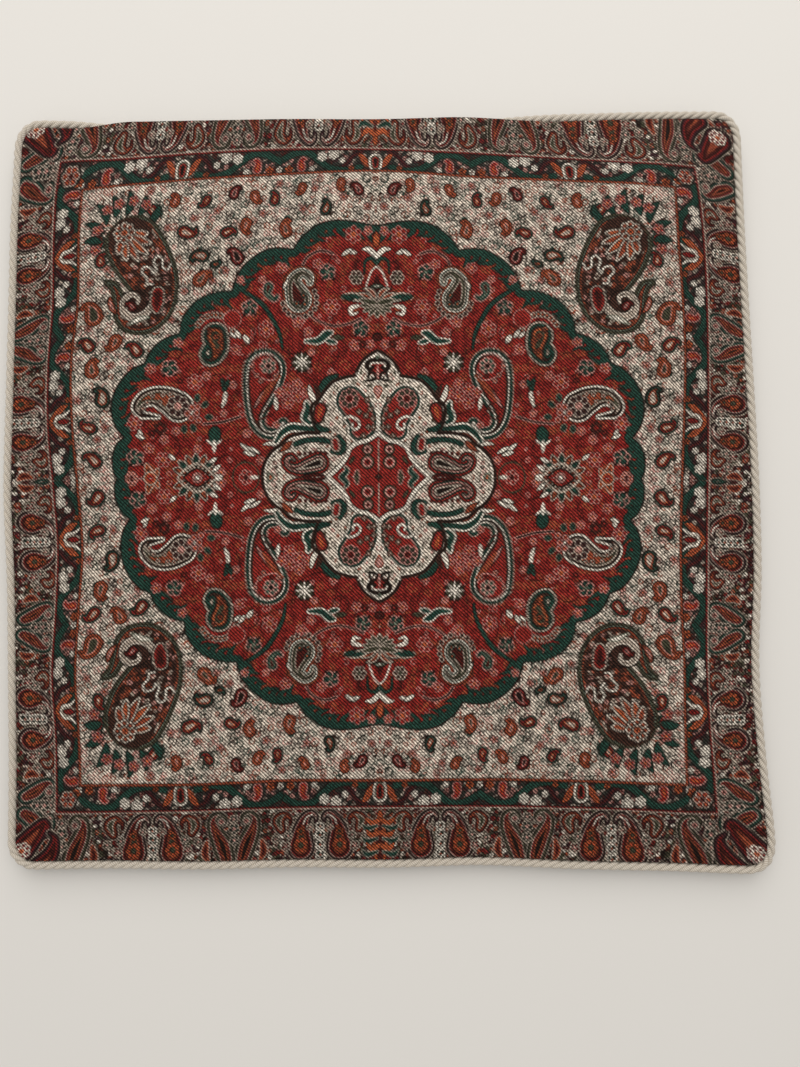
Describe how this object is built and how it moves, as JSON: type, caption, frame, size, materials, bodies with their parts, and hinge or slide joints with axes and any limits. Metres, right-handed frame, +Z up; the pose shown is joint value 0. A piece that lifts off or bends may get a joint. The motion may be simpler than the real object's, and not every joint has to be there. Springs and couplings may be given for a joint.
{
  "type": "floor cushion",
  "caption": "Thin square floor cushion: a zipped woven cover with a paisley medallion face, a twisted edge cord and a loose inner pad.",
  "frame": {"origin": "middle of the flat underside, on the surface that the cushion lies on", "axes": "+Z up through the cushion's thickness, +X along the zip towards its closed end, +Y away from the edge that the zip lies under"},
  "size_m": [0.45, 0.45, 0.032],
  "materials": {
    "face_cloth": "matte",
    "back_cloth": "matte",
    "cord_yarn": "matte",
    "pad_cloth": "matte",
    "wadding": "matte",
    "zip_tape": "matte",
    "zip_coil": "satin",
    "thread": "matte",
    "zip_metal": "satin"
  },
  "bodies": {
    "cushion": {"face_panel": "face_cloth", "back_panel_main": "back_cloth", "back_panel_strip": "back_cloth", "edge_cord": "cord_yarn", "cord_tape": "cord_yarn", "pad_case_face": "pad_cloth", "pad_case_back": "pad_cloth", "pad_filling": "wadding", "zip_tape_inner": "zip_tape", "zip_tape_outer": "zip_tape", "zip_teeth_inner": "zip_coil", "zip_teeth_outer": "zip_coil", "zip_thread_inner": "thread", "zip_thread_outer": "thread", "zip_top_stop_inner": "zip_metal", "zip_top_stop_outer": "zip_metal", "zip_bottom_stop": "zip_metal"},
    "slider": {"zip_slider": "zip_metal"},
    "puller": {"zip_puller": "zip_metal"}
  },
  "joints": [
    {"name": "slider_travel", "type": "slide", "parent": "cushion", "child": "slider", "axis": [-1, 0, 0], "range_m": [0, 0.283]},
    {"name": "puller_flip", "type": "hinge", "parent": "slider", "child": "puller", "pos_m": [0.1417, -0.19776, 0.00291], "axis": [0, -0.9835, 0.1811], "range_deg": [0, 170]}
  ]
}
